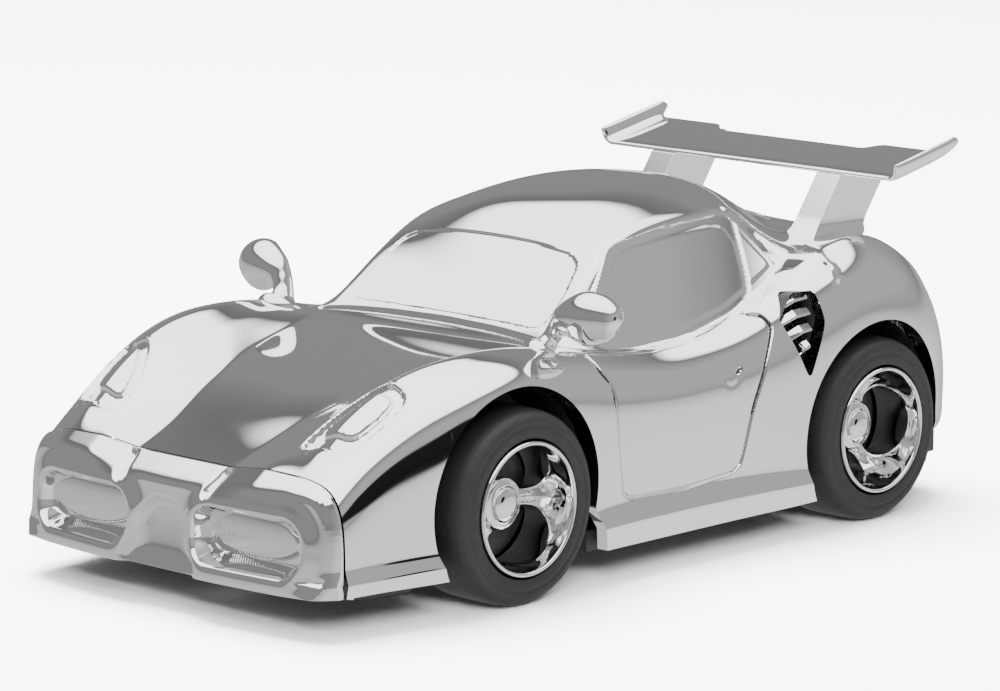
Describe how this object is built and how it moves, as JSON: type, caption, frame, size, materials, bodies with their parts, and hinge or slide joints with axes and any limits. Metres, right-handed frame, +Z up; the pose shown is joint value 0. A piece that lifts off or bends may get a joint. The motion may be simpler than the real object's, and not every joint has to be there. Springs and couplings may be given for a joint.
{
  "type": "pull back car",
  "caption": "Chromed toy sports car with a rear wing, free-rolling rubber-tyred wheels and a wind-up pull back motor that drives the rear axle.",
  "frame": {"origin": "on the floor under the middle of the car's length and width, where the tyres touch down at z 0", "axes": "+Y to the tail, +X to the car's left side, +Z up"},
  "size_m": [0.0602, 0.1128, 0.0439],
  "materials": {
    "body_chrome": "mirror-bright plating over die-cast metal",
    "lamp_chrome": "bright plating with fine flutes",
    "rim_chrome": "mirror-bright plating",
    "grille": "black with plated slat edges",
    "chassis_plastic": "black, fine grain",
    "tyre_rubber": "matte black",
    "screw_steel": "plated",
    "axle_steel": "ground bright",
    "motor_case": "satin grey",
    "spring_steel": "blued",
    "brass": "machined",
    "nylon": "natural white"
  },
  "bodies": {
    "car": {"body_shell": "body_chrome", "front_bumper": "body_chrome", "rear_fascia": "body_chrome", "rear_wing": "body_chrome", "mirror_left": "body_chrome", "mirror_right": "body_chrome", "lamp_insert_left": "lamp_chrome", "lamp_insert_right": "lamp_chrome", "side_grille_left": "grille", "side_grille_right": "grille", "chassis": "chassis_plastic", "front_axle_retainer": "chassis_plastic", "body_screw_front": "screw_steel", "body_screw_rear": "screw_steel", "motor_screw_left": "screw_steel", "motor_screw_right": "screw_steel", "retainer_screw": "screw_steel", "motor_case_left": "motor_case", "motor_case_right": "motor_case", "mainspring": "spring_steel"},
    "front_wheels": {"front_axle": "axle_steel", "rim_front_left": "rim_chrome", "rim_front_right": "rim_chrome", "tyre_front_left": "tyre_rubber", "tyre_front_right": "tyre_rubber"},
    "rear_wheels": {"rear_axle": "axle_steel", "axle_pinion": "brass", "rim_rear_left": "rim_chrome", "rim_rear_right": "rim_chrome", "tyre_rear_left": "tyre_rubber", "tyre_rear_right": "tyre_rubber"},
    "shift_pin": {"shift_pin": "axle_steel"},
    "shift_gear": {"shift_gear": "nylon"},
    "spring_gear": {"spring_gear": "nylon"}
  },
  "joints": [
    {"name": "rear_axle_spin", "type": "hinge", "parent": "car", "child": "rear_wheels", "pos_m": [0, 0.0355, 0.011], "axis": [1, 0, 0], "continuous": true},
    {"name": "front_axle_spin", "type": "hinge", "parent": "car", "child": "front_wheels", "pos_m": [0, -0.026, 0.011], "axis": [1, 0, 0], "continuous": true},
    {"name": "shift_pin_slide", "type": "slide", "parent": "car", "child": "shift_pin", "axis": [-1, 0, 0], "range_m": [0, 0.0024]},
    {"name": "shift_gear_spin", "type": "hinge", "parent": "shift_pin", "child": "shift_gear", "pos_m": [0, 0.03419, 0.01844], "axis": [1, 0, 0], "continuous": true},
    {"name": "spring_gear_spin", "type": "hinge", "parent": "car", "child": "spring_gear", "pos_m": [0, 0.02478, 0.01678], "axis": [1, 0, 0], "continuous": true}
  ],
  "couplings": [
    {"joint": "shift_gear_spin", "follows": "rear_axle_spin", "ratio": -0.5},
    {"joint": "spring_gear_spin", "follows": "rear_axle_spin", "ratio": 0.13333}
  ]
}
